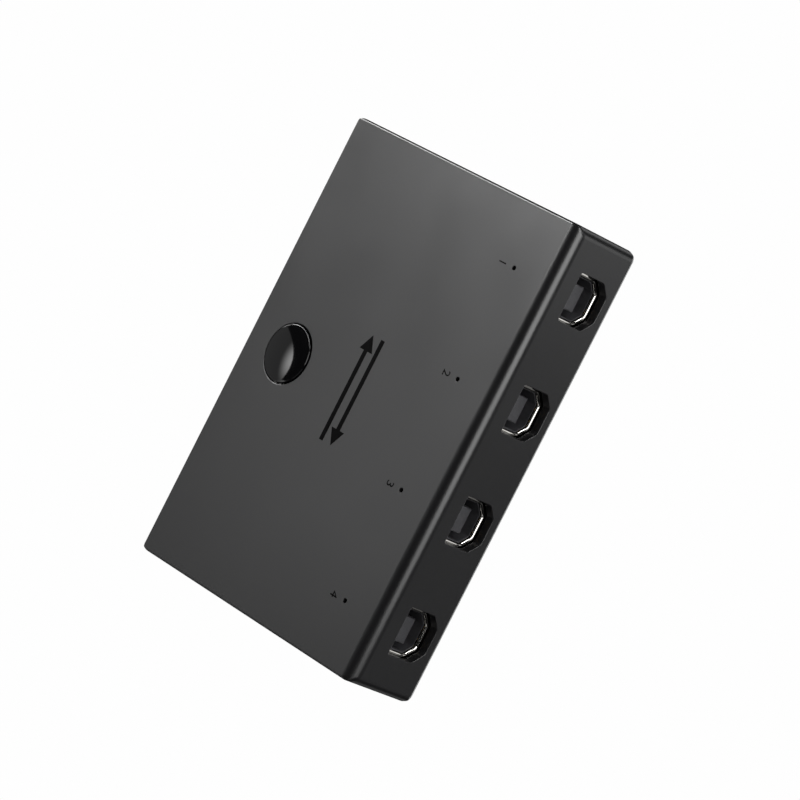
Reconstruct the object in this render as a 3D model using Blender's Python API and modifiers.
"""A four-computer USB sharing switch: a low moulded box with a push button on top,
four type B sockets along its rear wall and four type A sockets along its front wall.

Frame: the origin is the middle of the underside, on the surface that the feet stand on.
+X runs along the long side, +Y points out of the rear wall, +Z points up. Metres.
"""

import math

import bmesh
import bpy
from mathutils import Matrix, Vector

MM = 0.001

# Case: the outer block, its roundings and its walls
CASE_LENGTH = 100.0 * MM
CASE_DEPTH = 71.0 * MM
CASE_HEIGHT = 18.6 * MM
FOOT_STAND = 1.0 * MM
WALL = 2.0 * MM
CORNER_RADIUS = 2.0 * MM
REAR_TOP_RADIUS = 2.75 * MM
TOP_EDGE_RADIUS = 0.5 * MM
BOTTOM_EDGE_RADIUS = 1.4 * MM
CAVITY_RADIUS = 0.6 * MM
ROUNDING_SEGMENTS = 4

# Pieces that touch keep this gap
GAP = 0.3 * MM
# A cutter runs this far past the face that it opens
PAST = 1.0 * MM

CASE_BOTTOM = FOOT_STAND
CASE_TOP = FOOT_STAND + CASE_HEIGHT
CEILING = CASE_TOP - WALL
REAR_FACE = CASE_DEPTH / 2
FRONT_FACE = -CASE_DEPTH / 2
CAVITY_HALF = Vector((CASE_LENGTH / 2 - WALL, CASE_DEPTH / 2 - WALL))

# Circuit board: sockets hang under it, the button switch and the indicators stand on it
BOARD_UNDERSIDE = 14.15 * MM
BOARD_THICKNESS = 1.6 * MM
BOARD_TOP = BOARD_UNDERSIDE + BOARD_THICKNESS
BOARD_HALF = Vector((47.4 * MM, 32.9 * MM))
BOARD_CORNER = 1.5 * MM
UNDER_BOARD = BOARD_UNDERSIDE - GAP
ON_BOARD = BOARD_TOP + GAP

# Sockets, one of each type in each of four columns
PORT_PITCH = 24.48 * MM
PORT_X = [(index - 1.5) * PORT_PITCH for index in range(4)]

# Type B socket, seen from the rear: flat side up, two chamfered corners down
B_CENTRE_Z = 8.64 * MM
B_OPENING = (10.4 * MM, 9.45 * MM, 2.45 * MM)
B_MOUTH = (9.7 * MM, 8.75 * MM, 2.2 * MM)
B_THROAT = (8.9 * MM, 8.1 * MM, 2.0 * MM)
B_CAVITY = (8.5 * MM, 7.8 * MM, 1.9 * MM)
B_FRONT_Y = REAR_FACE - 2.5 * MM
B_CAN_HALF_WIDTH = 6.0 * MM
B_CAN_BELOW = 5.31 * MM
B_CAN_ABOVE = UNDER_BOARD - B_CENTRE_Z
B_CAN_LENGTH = 16.4 * MM
B_SHEET = 0.4 * MM
B_FRONT_PLATE = 0.5 * MM
B_FLARE = 0.35 * MM
B_CAVITY_DEPTH = 11.5 * MM
B_TONGUE_HALF = (2.78 * MM, 1.6 * MM)
B_TONGUE_SETBACK = 1.0 * MM

# Type A socket
A_FRONT_Y = FRONT_FACE + 2.4 * MM
A_HALF = (6.6 * MM, 3.0 * MM)
A_CENTRE_Z = UNDER_BOARD - A_HALF[1]
A_SHEET = 0.35 * MM
A_LENGTH = 14.0 * MM
A_OPENING_HALF = (6.4 * MM, 2.85 * MM)
A_TONGUE_HALF_WIDTH = 5.55 * MM
A_TONGUE_LOW = -2.0 * MM
A_TONGUE_THICKNESS = 1.84 * MM
A_TONGUE_SETBACK = 0.8 * MM
A_BLOCK_START = 9.5 * MM

# Power socket
POWER_HALF = (3.75 * MM, 1.45 * MM)
POWER_CENTRE_Z = UNDER_BOARD - POWER_HALF[1]
POWER_SHEET = 0.3 * MM
POWER_CHAMFER = 0.9 * MM
POWER_LENGTH = 5.4 * MM
POWER_OPENING = (8.2 * MM, 3.4 * MM, 1.1 * MM)
POWER_TONGUE_HALF = (1.75 * MM, 0.3 * MM)
POWER_TONGUE_SETBACK = 0.8 * MM
POWER_BLOCK_START = 3.6 * MM

# Button and the snap switch under it
BUTTON_Y = -22.4 * MM
BUTTON_HOLE_RADIUS = 6.55 * MM
BUTTON_RADIUS = BUTTON_HOLE_RADIUS - GAP
BUTTON_RIM = 0.30 * MM
BUTTON_DOME = 0.45 * MM
BUTTON_EDGE = 0.25 * MM
BUTTON_SKIN = 1.05 * MM
BUTTON_FLANGE_RADIUS = 6.95 * MM
BUTTON_FLANGE = 0.7 * MM
BUTTON_HOLLOW_RADIUS = 5.2 * MM
BUTTON_STEM_RADIUS = 1.6 * MM
BUTTON_STEM = 0.35 * MM
TURNED_STEPS = 40
DOME_STEPS = 5
TACT_HALF = 3.0 * MM
TACT_BASE_HEIGHT = 1.1 * MM
TACT_WELL_RADIUS = 2.5 * MM
TACT_FLOOR = 0.3 * MM
TACT_COVER_LOW = ON_BOARD + TACT_BASE_HEIGHT + GAP
TACT_COVER_THICKNESS = 0.3 * MM
TACT_COVER_HOLE = 2.0 * MM
PLUNGER_RADIUS = 1.7 * MM
PLUNGER_FLANGE_RADIUS = 2.2 * MM
PLUNGER_FLANGE = 0.3 * MM
SNAP_RADIUS = 2.1 * MM
SNAP_THICKNESS = 0.12 * MM
SNAP_RISE = 0.2 * MM

# Indicators: a pinhole in the top over each one
LED_Y = 24.35 * MM
PINHOLE_RADIUS = 0.5 * MM
LED_SIZE = (2.0 * MM, 1.25 * MM, 0.8 * MM)

# Screws, posts and bosses stand on one axis at each of four places
SCREW_PLACES = [(x, y) for y in (26.0 * MM, -26.0 * MM) for x in (-PORT_PITCH, PORT_PITCH)]
BOSS_RADIUS = 3.0 * MM
BOSS_HOLE_RADIUS = 1.4 * MM
BOSS_HOLE_TOP = CASE_TOP - 0.8 * MM
POST_RADIUS = 3.6 * MM
POST_HOLE_RADIUS = 1.5 * MM
BOARD_HOLE_RADIUS = 1.7 * MM
COUNTERBORE_RADIUS = 2.7 * MM
COUNTERBORE_TOP = 3.2 * MM
SCREW_HEAD_RADIUS = 2.3 * MM
SCREW_HEAD = 1.6 * MM
SCREW_SHANK_RADIUS = 1.1 * MM
SCREW_TIP = BOSS_HOLE_TOP - 0.4 * MM
CROSS_LENGTH = 2.6 * MM
CROSS_WIDTH = 0.6 * MM
CROSS_DEPTH = 0.8 * MM

# Bottom plate and feet
PLATE_THICKNESS = 1.8 * MM
PLATE_CORNER = 0.5 * MM
FOOT_PLACES = [(x, y) for y in (27.5 * MM, -27.5 * MM) for x in (-42.0 * MM, 42.0 * MM)]
FOOT_RADIUS = 4.0 * MM
FOOT_RECESS = 0.6 * MM
FOOT_EDGE = 0.3 * MM

# Board components: name, middle on the board, width, depth and height below the board
CHIPS = [
    ("hub_controller", (0.0, 4.0 * MM), (9.0 * MM, 9.0 * MM, 1.4 * MM)),
    ("switch_logic", (-14.0 * MM, -8.0 * MM), (5.0 * MM, 4.0 * MM, 1.5 * MM)),
    ("signal_switch_1", (-24.5 * MM, 9.0 * MM), (5.0 * MM, 4.4 * MM, 1.0 * MM)),
    ("signal_switch_2", (24.5 * MM, 9.0 * MM), (5.0 * MM, 4.4 * MM, 1.0 * MM)),
    ("voltage_regulator", (0.0, -23.0 * MM), (6.5 * MM, 3.5 * MM, 1.6 * MM)),
]
CHIP_EDGE = 0.15 * MM
CRYSTAL_PLACE = (14.0 * MM, 0.0)
CRYSTAL_SIZE = (11.0 * MM, 4.6 * MM, 3.5 * MM)
CAPACITOR_PLACES = [(7.0 * MM, -14.0 * MM), (16.0 * MM, -14.0 * MM)]
CAPACITOR_RADIUS = 3.15 * MM
CAPACITOR_HEIGHT = 7.0 * MM


def clear_scene():
    for obj in list(bpy.data.objects):
        bpy.data.objects.remove(obj, do_unlink=True)


def make_collection(name):
    collection = bpy.data.collections.new(name)
    bpy.context.scene.collection.children.link(collection)
    return collection


def make_material(name, colour, roughness, metallic=0.0):
    material = bpy.data.materials.new(name)
    material.use_nodes = True
    shader = material.node_tree.nodes["Principled BSDF"]
    shader.inputs["Base Color"].default_value = (*colour, 1.0)
    shader.inputs["Roughness"].default_value = roughness
    shader.inputs["Metallic"].default_value = metallic
    return material


clear_scene()
PARTS = make_collection("usb_sharing_switch")
CUTTERS = make_collection("cutters")

CASE_BLACK = make_material("case_black", (0.012, 0.012, 0.012), 0.42)
BUTTON_BLACK = make_material("button_black", (0.006, 0.006, 0.006), 0.12)
FOOT_BLACK = make_material("foot_black", (0.010, 0.010, 0.010), 0.8)
SCREW_STEEL = make_material("screw_steel", (0.35, 0.35, 0.36), 0.35, 1.0)
BOARD_GREEN = make_material("board_green", (0.02, 0.12, 0.05), 0.4)
SOCKET_STEEL = make_material("socket_steel", (0.60, 0.60, 0.60), 0.25, 1.0)
SOCKET_BLACK = make_material("socket_black", (0.020, 0.020, 0.022), 0.5)
SWITCH_STEEL = make_material("switch_steel", (0.65, 0.65, 0.65), 0.3, 1.0)
LED_CLEAR = make_material("led_clear", (0.75, 0.77, 0.80), 0.2)
CHIP_BLACK = make_material("chip_black", (0.02, 0.02, 0.02), 0.6)
CAN_ALUMINIUM = make_material("can_aluminium", (0.70, 0.70, 0.71), 0.35, 1.0)


# Shapes, each added to a bmesh

def add_box(bm, low, high):
    low = Vector(low)
    high = Vector(high)
    size = Matrix.Diagonal((*(high - low), 1.0))
    made = bmesh.ops.create_cube(bm, size=1.0, matrix=Matrix.Translation((low + high) / 2) @ size)
    return made["verts"]


def add_cylinder(bm, centre, radius, low, high, segments=24):
    middle = Matrix.Translation((*centre, (low + high) / 2))
    bmesh.ops.create_cone(
        bm, cap_ends=True, segments=segments, radius1=radius, radius2=radius, depth=high - low, matrix=middle
    )


def edges_along(verts, axis):
    """The edges of a box that run along one axis."""
    other = [index for index in range(3) if index != axis]
    found = set()
    for vert in verts:
        for edge in vert.link_edges:
            a, b = (end.co for end in edge.verts)
            if all(abs(a[index] - b[index]) < 1e-7 for index in other):
                found.add(edge)
    return found


def round_edges(bm, edges, radius, segments=3):
    bmesh.ops.bevel(
        bm, geom=list(edges), offset=radius, segments=segments, profile=0.5, affect="EDGES", material=-1
    )


def add_chamfered_prism(bm, shape, near, far, centre=(0.0, 0.0)):
    """A block along Y whose two lower edges are cut off; shape is its width, height and chamfer."""
    width, height, chamfer = shape
    x, z = centre
    verts = add_box(bm, (x - width / 2, near, z - height / 2), (x + width / 2, far, z + height / 2))
    lower = [
        edge
        for edge in edges_along(verts, 1)
        if sum(end.co.z for end in edge.verts) / 2 < z
    ]
    round_edges(bm, lower, chamfer, segments=1)


# Objects

def make_object(name, bm, collection, location):
    mesh = bpy.data.meshes.new(name)
    bm.to_mesh(mesh)
    bm.free()
    obj = bpy.data.objects.new(name, mesh)
    obj.location = location
    collection.objects.link(obj)
    return obj


def make_part(name, bm, material, location=(0.0, 0.0, 0.0)):
    part = make_object(name, bm, PARTS, location)
    part.data.materials.append(material)
    return part


def combine(part, name, bm, operation):
    """Cut a shape out of a part, or join it on; the shape is in the part's own coordinates."""
    tool = make_object(name, bm, CUTTERS, part.location)
    tool.hide_render = True
    tool.display_type = "WIRE"
    modifier = part.modifiers.new(name, "BOOLEAN")
    modifier.operation = operation
    modifier.object = tool


def stamp(master, names, places):
    """Finish the master's mesh and stand one object with it at each place."""
    bpy.context.view_layer.update()
    evaluated = master.evaluated_get(bpy.context.evaluated_depsgraph_get())
    mesh = bpy.data.meshes.new_from_object(evaluated)
    mesh.name = master.name
    for name, place in zip(names, places):
        copy = bpy.data.objects.new(name, mesh)
        copy.location = place
        PARTS.objects.link(copy)
    for modifier in list(master.modifiers):
        if modifier.type == "BOOLEAN":
            bpy.data.objects.remove(modifier.object, do_unlink=True)
    bpy.data.objects.remove(master, do_unlink=True)


def make_turned(name, profile, material, location, steps=TURNED_STEPS):
    """A profile of (radius, height) points, from the top of the axis round to its bottom, spun about Z."""
    bm = bmesh.new()
    points = [bm.verts.new((radius, 0.0, height)) for radius, height in profile]
    for start, end in zip(points, points[1:]):
        bm.edges.new((start, end))
    part = make_part(name, bm, material, location)
    screw = part.modifiers.new("spin", "SCREW")
    screw.steps = steps
    screw.render_steps = steps
    screw.use_merge_vertices = True
    screw.merge_threshold = 0.00001
    return part


def numbered(stem):
    return [f"{stem}_{index}" for index in range(1, 5)]


# Case

def case_rounding(edge):
    """The radius of the rounding on one edge of the case block."""
    a, b = (end.co for end in edge.verts)
    middle = (a + b) / 2
    if abs(a.z - b.z) > WALL:
        return CORNER_RADIUS
    if middle.z < CASE_HEIGHT / 2:
        return BOTTOM_EDGE_RADIUS
    if middle.y > REAR_FACE - WALL:
        return REAR_TOP_RADIUS
    return TOP_EDGE_RADIUS


def make_top_cover():
    bm = bmesh.new()
    add_box(
        bm,
        (-CASE_LENGTH / 2, FRONT_FACE, CASE_BOTTOM),
        (CASE_LENGTH / 2, REAR_FACE, CASE_TOP),
    )
    weight = bm.edges.layers.float.new("bevel_weight_edge")
    for edge in bm.edges:
        edge[weight] = case_rounding(edge) / REAR_TOP_RADIUS
    cover = make_part("top_cover", bm, CASE_BLACK)
    bevel = cover.modifiers.new("roundings", "BEVEL")
    bevel.limit_method = "WEIGHT"
    bevel.width = REAR_TOP_RADIUS
    bevel.segments = ROUNDING_SEGMENTS

    cavity = bmesh.new()
    inside = add_box(
        cavity,
        (-CAVITY_HALF.x, -CAVITY_HALF.y, CASE_BOTTOM - PAST),
        (CAVITY_HALF.x, CAVITY_HALF.y, CEILING),
    )
    round_edges(cavity, edges_along(inside, 2), CAVITY_RADIUS)
    combine(cover, "case_cavity", cavity, "DIFFERENCE")

    bosses = bmesh.new()
    for place in SCREW_PLACES:
        add_cylinder(bosses, place, BOSS_RADIUS, ON_BOARD, CEILING + WALL / 2)
    combine(cover, "screw_bosses", bosses, "UNION")

    holes = bmesh.new()
    for place in SCREW_PLACES:
        add_cylinder(holes, place, BOSS_HOLE_RADIUS, ON_BOARD - PAST, BOSS_HOLE_TOP, 16)
    for x in PORT_X:
        add_cylinder(holes, (x, LED_Y), PINHOLE_RADIUS, CEILING - PAST, CASE_TOP + PAST, 16)
        add_chamfered_prism(
            holes, B_OPENING, REAR_FACE - WALL - PAST, REAR_FACE + PAST, (x, B_CENTRE_Z)
        )
        half_width, half_height = A_OPENING_HALF
        add_box(
            holes,
            (x - half_width, FRONT_FACE - PAST, A_CENTRE_Z - half_height),
            (x + half_width, FRONT_FACE + WALL + PAST, A_CENTRE_Z + half_height),
        )
    add_chamfered_prism(
        holes, POWER_OPENING, FRONT_FACE - PAST, FRONT_FACE + WALL + PAST, (0.0, POWER_CENTRE_Z)
    )
    add_cylinder(
        holes, (0.0, BUTTON_Y), BUTTON_HOLE_RADIUS, CEILING - PAST, CASE_TOP + PAST, TURNED_STEPS
    )
    combine(cover, "cover_holes", holes, "DIFFERENCE")


def make_bottom_plate():
    half_x = CAVITY_HALF.x - GAP
    half_y = CAVITY_HALF.y - GAP
    top = CASE_BOTTOM + PLATE_THICKNESS
    bm = bmesh.new()
    verts = add_box(bm, (-half_x, -half_y, CASE_BOTTOM), (half_x, half_y, top))
    round_edges(bm, edges_along(verts, 2), PLATE_CORNER)
    plate = make_part("bottom_plate", bm, CASE_BLACK)

    posts = bmesh.new()
    for place in SCREW_PLACES:
        add_cylinder(posts, place, POST_RADIUS, top - PLATE_THICKNESS / 2, UNDER_BOARD)
    combine(plate, "screw_posts", posts, "UNION")

    recesses = bmesh.new()
    for place in SCREW_PLACES:
        add_cylinder(recesses, place, COUNTERBORE_RADIUS, CASE_BOTTOM - PAST, COUNTERBORE_TOP)
    for place in FOOT_PLACES:
        add_cylinder(
            recesses, place, FOOT_RADIUS + GAP, CASE_BOTTOM - PAST, CASE_BOTTOM + FOOT_RECESS
        )
    combine(plate, "plate_recesses", recesses, "DIFFERENCE")

    bores = bmesh.new()
    for place in SCREW_PLACES:
        add_cylinder(bores, place, POST_HOLE_RADIUS, CASE_BOTTOM, UNDER_BOARD + PAST, 16)
    combine(plate, "post_bores", bores, "DIFFERENCE")


def make_feet():
    height = CASE_BOTTOM + FOOT_RECESS - GAP
    profile = [
        (0.0, height),
        (FOOT_RADIUS, height),
        (FOOT_RADIUS, FOOT_EDGE),
        (FOOT_RADIUS - FOOT_EDGE, 0.0),
        (0.0, 0.0),
    ]
    master = make_turned("rubber_foot", profile, FOOT_BLACK, (0.0, 0.0, 0.0), 24)
    stamp(master, numbered("rubber_foot"), [(x, y, 0.0) for x, y in FOOT_PLACES])


def make_screws():
    seat = COUNTERBORE_TOP - GAP
    profile = [
        (0.0, SCREW_TIP - seat),
        (SCREW_SHANK_RADIUS, SCREW_TIP - seat - SCREW_SHANK_RADIUS),
        (SCREW_SHANK_RADIUS, 0.0),
        (SCREW_HEAD_RADIUS, 0.0),
        (SCREW_HEAD_RADIUS, FOOT_EDGE - SCREW_HEAD),
        (SCREW_HEAD_RADIUS - FOOT_EDGE, -SCREW_HEAD),
        (0.0, -SCREW_HEAD),
    ]
    master = make_turned("case_screw", profile, SCREW_STEEL, (0.0, 0.0, 0.0), 16)
    cross = bmesh.new()
    long_half = CROSS_LENGTH / 2
    short_half = CROSS_WIDTH / 2
    low = -SCREW_HEAD - PAST
    high = -SCREW_HEAD + CROSS_DEPTH
    add_box(cross, (-long_half, -short_half, low), (long_half, short_half, high))
    combine(master, "cross_slot_along", cross, "DIFFERENCE")
    across = bmesh.new()
    add_box(across, (-short_half, -long_half, low), (short_half, long_half, high))
    combine(master, "cross_slot_across", across, "DIFFERENCE")
    stamp(master, numbered("case_screw"), [(x, y, seat) for x, y in SCREW_PLACES])


# Board and what is soldered to it

def make_board():
    bm = bmesh.new()
    verts = add_box(
        bm,
        (-BOARD_HALF.x, -BOARD_HALF.y, BOARD_UNDERSIDE),
        (BOARD_HALF.x, BOARD_HALF.y, BOARD_TOP),
    )
    round_edges(bm, edges_along(verts, 2), BOARD_CORNER)
    board = make_part("circuit_board", bm, BOARD_GREEN)
    holes = bmesh.new()
    for place in SCREW_PLACES:
        add_cylinder(
            holes, place, BOARD_HOLE_RADIUS, BOARD_UNDERSIDE - PAST, BOARD_TOP + PAST, 16
        )
    combine(board, "board_holes", holes, "DIFFERENCE")


def make_component(name, place, size, material, edge, top, segments=1):
    """A small moulded block whose upright edges are eased and whose top is at a height."""
    width, depth, height = size
    bm = bmesh.new()
    verts = add_box(bm, (-width / 2, -depth / 2, -height), (width / 2, depth / 2, 0.0))
    round_edges(bm, edges_along(verts, 2), edge, segments)
    make_part(name, bm, material, (*place, top))


def make_components():
    for name, place, size in CHIPS:
        make_component(name, place, size, CHIP_BLACK, CHIP_EDGE, UNDER_BOARD)
    round_end = CRYSTAL_SIZE[1] / 2 - CHIP_EDGE
    make_component(
        "clock_crystal", CRYSTAL_PLACE, CRYSTAL_SIZE, SWITCH_STEEL, round_end, UNDER_BOARD, segments=3
    )
    for index, place in enumerate(CAPACITOR_PLACES, start=1):
        can = bmesh.new()
        add_cylinder(can, (0.0, 0.0), CAPACITOR_RADIUS, -CAPACITOR_HEIGHT, 0.0)
        make_part(f"filter_capacitor_{index}", can, CAN_ALUMINIUM, (*place, UNDER_BOARD))
    for name, x in zip(numbered("led"), PORT_X):
        make_component(
            name, (x, LED_Y), LED_SIZE, LED_CLEAR, CHIP_EDGE, ON_BOARD + LED_SIZE[2]
        )


# Type B sockets; each piece's origin is the middle of the mouth, in the plane of the can's front

def make_b_shells():
    bm = bmesh.new()
    verts = add_box(
        bm,
        (-B_CAN_HALF_WIDTH, -B_CAN_LENGTH, -B_CAN_BELOW),
        (B_CAN_HALF_WIDTH, 0.0, B_CAN_ABOVE),
    )
    round_edges(bm, edges_along(verts, 1), B_SHEET)
    shell = make_part("usb_b_shell", bm, SOCKET_STEEL)
    inside = bmesh.new()
    add_box(
        inside,
        (B_SHEET - B_CAN_HALF_WIDTH, -B_CAN_LENGTH - PAST, B_SHEET - B_CAN_BELOW),
        (B_CAN_HALF_WIDTH - B_SHEET, -B_FRONT_PLATE, B_CAN_ABOVE - B_SHEET),
    )
    combine(shell, "b_can_inside", inside, "DIFFERENCE")
    throat = bmesh.new()
    add_chamfered_prism(throat, B_THROAT, -B_FRONT_PLATE - PAST, PAST)
    combine(shell, "b_throat", throat, "DIFFERENCE")
    flare = bmesh.new()
    add_chamfered_prism(flare, B_MOUTH, -B_FLARE, B_FLARE)
    narrow = B_THROAT[0] / B_MOUTH[0]
    for vert in flare.verts:
        share = narrow if vert.co.y < 0.0 else 2.0 - narrow
        vert.co.x *= share
        vert.co.z *= share
    combine(shell, "b_flare", flare, "DIFFERENCE")
    places = [(x, B_FRONT_Y, B_CENTRE_Z) for x in PORT_X]
    stamp(shell, numbered("usb_b_shell"), places)


def make_b_insulators():
    clear = B_SHEET + GAP
    bm = bmesh.new()
    add_box(
        bm,
        (clear - B_CAN_HALF_WIDTH, GAP - B_CAN_LENGTH, clear - B_CAN_BELOW),
        (B_CAN_HALF_WIDTH - clear, -B_FRONT_PLATE - GAP, B_CAN_ABOVE - clear),
    )
    block = make_part("usb_b_insulator", bm, SOCKET_BLACK)
    well = bmesh.new()
    add_chamfered_prism(well, B_CAVITY, -B_CAVITY_DEPTH, 0.0)
    combine(block, "b_well", well, "DIFFERENCE")
    tongue = bmesh.new()
    half_width, half_height = B_TONGUE_HALF
    add_box(
        tongue,
        (-half_width, -B_CAVITY_DEPTH - PAST, -half_height),
        (half_width, -B_TONGUE_SETBACK, half_height),
    )
    combine(block, "b_tongue", tongue, "UNION")
    places = [(x, B_FRONT_Y, B_CENTRE_Z) for x in PORT_X]
    stamp(block, numbered("usb_b_insulator"), places)


# Type A sockets; each piece's origin is the middle of the mouth, and the socket runs along +Y

def make_a_shells():
    half_width, half_height = A_HALF
    bm = bmesh.new()
    verts = add_box(bm, (-half_width, 0.0, -half_height), (half_width, A_LENGTH, half_height))
    round_edges(bm, edges_along(verts, 1), A_SHEET)
    shell = make_part("usb_a_shell", bm, SOCKET_STEEL)
    inside = bmesh.new()
    add_box(
        inside,
        (A_SHEET - half_width, -PAST, A_SHEET - half_height),
        (half_width - A_SHEET, A_LENGTH - A_SHEET, half_height - A_SHEET),
    )
    combine(shell, "a_inside", inside, "DIFFERENCE")
    stamp(shell, numbered("usb_a_shell"), [(x, A_FRONT_Y, A_CENTRE_Z) for x in PORT_X])


def make_a_insulators():
    clear = A_SHEET + GAP
    half_width, half_height = A_HALF
    bm = bmesh.new()
    add_box(
        bm,
        (clear - half_width, A_BLOCK_START, clear - half_height),
        (half_width - clear, A_LENGTH - clear, half_height - clear),
    )
    block = make_part("usb_a_insulator", bm, SOCKET_BLACK)
    tongue = bmesh.new()
    add_box(
        tongue,
        (-A_TONGUE_HALF_WIDTH, A_TONGUE_SETBACK, A_TONGUE_LOW),
        (A_TONGUE_HALF_WIDTH, A_BLOCK_START + PAST, A_TONGUE_LOW + A_TONGUE_THICKNESS),
    )
    combine(block, "a_tongue", tongue, "UNION")
    stamp(block, numbered("usb_a_insulator"), [(x, A_FRONT_Y, A_CENTRE_Z) for x in PORT_X])


def make_power_socket():
    half_width, half_height = POWER_HALF
    place = (0.0, A_FRONT_Y, POWER_CENTRE_Z)
    bm = bmesh.new()
    add_chamfered_prism(bm, (2 * half_width, 2 * half_height, POWER_CHAMFER), 0.0, POWER_LENGTH)
    shell = make_part("power_socket_shell", bm, SOCKET_STEEL, place)
    inside = bmesh.new()
    inner = (2 * (half_width - POWER_SHEET), 2 * (half_height - POWER_SHEET), POWER_CHAMFER)
    add_chamfered_prism(inside, inner, -PAST, POWER_LENGTH - POWER_SHEET)
    combine(shell, "power_inside", inside, "DIFFERENCE")

    clear = POWER_SHEET + GAP
    bm = bmesh.new()
    solid = (2 * (half_width - clear), 2 * (half_height - clear), POWER_CHAMFER)
    add_chamfered_prism(bm, solid, POWER_BLOCK_START, POWER_LENGTH - clear)
    block = make_part("power_socket_insulator", bm, SOCKET_BLACK, place)
    tongue = bmesh.new()
    half_width, half_height = POWER_TONGUE_HALF
    add_box(
        tongue,
        (-half_width, POWER_TONGUE_SETBACK, -half_height),
        (half_width, POWER_BLOCK_START + GAP, half_height),
    )
    combine(block, "power_tongue", tongue, "UNION")


# Button; the cap, the plunger and the snap dome share one vertical axis

def dome_profile(radius, rise, base):
    """Points of a shallow arc from the axis out to a radius, its middle higher by rise."""
    sphere = (radius**2 + rise**2) / (2 * rise)
    points = []
    for step in range(DOME_STEPS + 1):
        out = radius * step / DOME_STEPS
        height = math.sqrt(sphere**2 - out**2) - (sphere - rise)
        points.append((out, base + height))
    return points


def make_button_cap():
    under_ceiling = -WALL - GAP
    flange_low = under_ceiling - BUTTON_FLANGE
    hollow_top = BUTTON_RIM - BUTTON_SKIN
    profile = dome_profile(BUTTON_RADIUS - BUTTON_EDGE, BUTTON_DOME, BUTTON_RIM)
    profile += [
        (BUTTON_RADIUS, BUTTON_RIM - BUTTON_EDGE),
        (BUTTON_RADIUS, under_ceiling),
        (BUTTON_FLANGE_RADIUS, under_ceiling),
        (BUTTON_FLANGE_RADIUS, flange_low),
        (BUTTON_HOLLOW_RADIUS, flange_low),
        (BUTTON_HOLLOW_RADIUS, hollow_top),
        (BUTTON_STEM_RADIUS, hollow_top),
        (BUTTON_STEM_RADIUS, hollow_top - BUTTON_STEM),
        (0.0, hollow_top - BUTTON_STEM),
    ]
    make_turned("button_cap", profile, BUTTON_BLACK, (0.0, BUTTON_Y, CASE_TOP))


def make_tact_switch():
    place = (0.0, BUTTON_Y)
    bm = bmesh.new()
    add_box(bm, (-TACT_HALF, -TACT_HALF, 0.0), (TACT_HALF, TACT_HALF, TACT_BASE_HEIGHT))
    base = make_part("tact_base", bm, CHIP_BLACK, (*place, ON_BOARD))
    well = bmesh.new()
    add_cylinder(well, (0.0, 0.0), TACT_WELL_RADIUS, TACT_FLOOR, TACT_BASE_HEIGHT + PAST)
    combine(base, "tact_well", well, "DIFFERENCE")

    bm = bmesh.new()
    add_box(bm, (-TACT_HALF, -TACT_HALF, 0.0), (TACT_HALF, TACT_HALF, TACT_COVER_THICKNESS))
    cover = make_part("tact_cover", bm, SWITCH_STEEL, (*place, TACT_COVER_LOW))
    hole = bmesh.new()
    add_cylinder(hole, (0.0, 0.0), TACT_COVER_HOLE, -PAST, PAST)
    combine(cover, "tact_cover_hole", hole, "DIFFERENCE")

    stem_bottom = CASE_TOP + BUTTON_RIM - BUTTON_SKIN - BUTTON_STEM
    plunger_top = stem_bottom - GAP
    flange_top = TACT_COVER_LOW - GAP
    profile = [
        (0.0, 0.0),
        (PLUNGER_RADIUS, 0.0),
        (PLUNGER_RADIUS, flange_top - plunger_top),
        (PLUNGER_FLANGE_RADIUS, flange_top - plunger_top),
        (PLUNGER_FLANGE_RADIUS, flange_top - PLUNGER_FLANGE - plunger_top),
        (0.0, flange_top - PLUNGER_FLANGE - plunger_top),
    ]
    make_turned("tact_plunger", profile, CHIP_BLACK, (*place, plunger_top), 24)

    upper = dome_profile(SNAP_RADIUS, SNAP_RISE, SNAP_THICKNESS)
    lower = dome_profile(SNAP_RADIUS, SNAP_RISE, 0.0)
    snap_base = ON_BOARD + TACT_FLOOR + SNAP_THICKNESS / 2
    make_turned("tact_dome", upper + lower[::-1], SWITCH_STEEL, (*place, snap_base), 24)


make_top_cover()
make_bottom_plate()
make_feet()
make_screws()
make_board()
make_components()
make_b_shells()
make_b_insulators()
make_a_shells()
make_a_insulators()
make_power_socket()
make_button_cap()
make_tact_switch()
